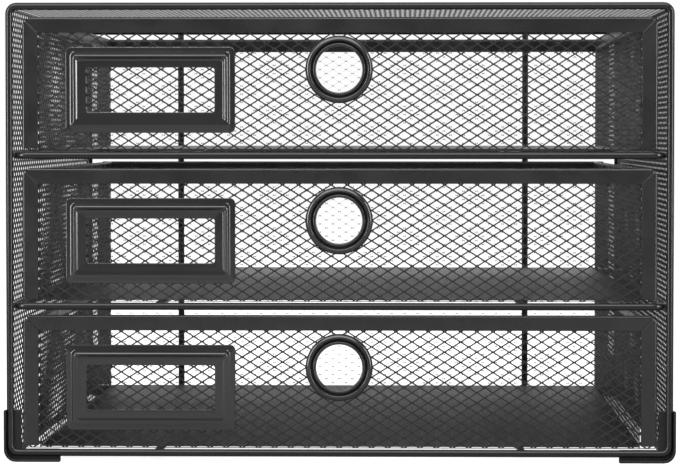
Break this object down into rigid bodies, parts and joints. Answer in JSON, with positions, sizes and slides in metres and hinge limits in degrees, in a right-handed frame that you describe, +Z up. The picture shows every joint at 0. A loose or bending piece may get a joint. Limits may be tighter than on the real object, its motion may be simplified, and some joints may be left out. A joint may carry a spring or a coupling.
{
  "type": "drawer organizer",
  "caption": "Desktop organizer of black expanded-metal mesh: a wire-framed open-backed case with sliding drawers, each with a label holder and a round finger hole.",
  "frame": {"origin": "middle of the footprint, on the table under the feet", "axes": "+Z up, -Y towards the user (drawer fronts), +X to the user's right"},
  "size_m": [0.272, 0.302, 0.186],
  "materials": {
    "wire_steel": "black enamelled steel wire, semi-gloss",
    "mesh_steel": "black enamelled expanded steel, semi-gloss",
    "strip_steel": "black enamelled folded steel strip, semi-gloss",
    "foot_plastic": "black moulded plastic, satin",
    "holder_plastic": "black moulded plastic, semi-gloss",
    "ring_plastic": "black moulded plastic, semi-gloss"
  },
  "bodies": {
    "case": {"front_frame": "wire_steel", "rear_frame": "wire_steel", "case_left_mesh": "mesh_steel", "case_right_mesh": "mesh_steel", "case_top_mesh": "mesh_steel", "upper_shelf": "wire_steel", "lower_shelf": "wire_steel", "upper_left_runner": "wire_steel", "lower_left_runner": "wire_steel", "base_left_runner": "wire_steel", "base_left_wire": "wire_steel", "rear_left_upright": "wire_steel", "front_left_foot": "foot_plastic", "rear_left_foot": "foot_plastic", "upper_right_runner": "wire_steel", "lower_right_runner": "wire_steel", "base_right_runner": "wire_steel", "base_right_wire": "wire_steel", "rear_right_upright": "wire_steel", "front_right_foot": "foot_plastic", "rear_right_foot": "foot_plastic"},
    "bottom_drawer": {"bottom_front_mesh": "mesh_steel", "bottom_rear_mesh": "mesh_steel", "bottom_floor_mesh": "mesh_steel", "bottom_left_mesh": "mesh_steel", "bottom_right_mesh": "mesh_steel", "bottom_front_trim": "strip_steel", "bottom_rear_trim": "strip_steel", "bottom_left_rail": "strip_steel", "bottom_right_rail": "strip_steel", "bottom_label_holder": "holder_plastic", "bottom_finger_ring": "ring_plastic"},
    "middle_drawer": {"middle_front_mesh": "mesh_steel", "middle_rear_mesh": "mesh_steel", "middle_floor_mesh": "mesh_steel", "middle_left_mesh": "mesh_steel", "middle_right_mesh": "mesh_steel", "middle_front_trim": "strip_steel", "middle_rear_trim": "strip_steel", "middle_left_rail": "strip_steel", "middle_right_rail": "strip_steel", "middle_label_holder": "holder_plastic", "middle_finger_ring": "ring_plastic"},
    "top_drawer": {"top_front_mesh": "mesh_steel", "top_rear_mesh": "mesh_steel", "top_floor_mesh": "mesh_steel", "top_left_mesh": "mesh_steel", "top_right_mesh": "mesh_steel", "top_front_trim": "strip_steel", "top_rear_trim": "strip_steel", "top_left_rail": "strip_steel", "top_right_rail": "strip_steel", "top_label_holder": "holder_plastic", "top_finger_ring": "ring_plastic"}
  },
  "joints": [
    {"name": "top_drawer_slide", "type": "slide", "parent": "case", "child": "top_drawer", "axis": [0, -1, 0], "range_m": [-0.007, 0.22]},
    {"name": "middle_drawer_slide", "type": "slide", "parent": "case", "child": "middle_drawer", "axis": [0, -1, 0], "range_m": [-0.007, 0.22]},
    {"name": "bottom_drawer_slide", "type": "slide", "parent": "case", "child": "bottom_drawer", "axis": [0, -1, 0], "range_m": [-0.007, 0.22]}
  ]
}
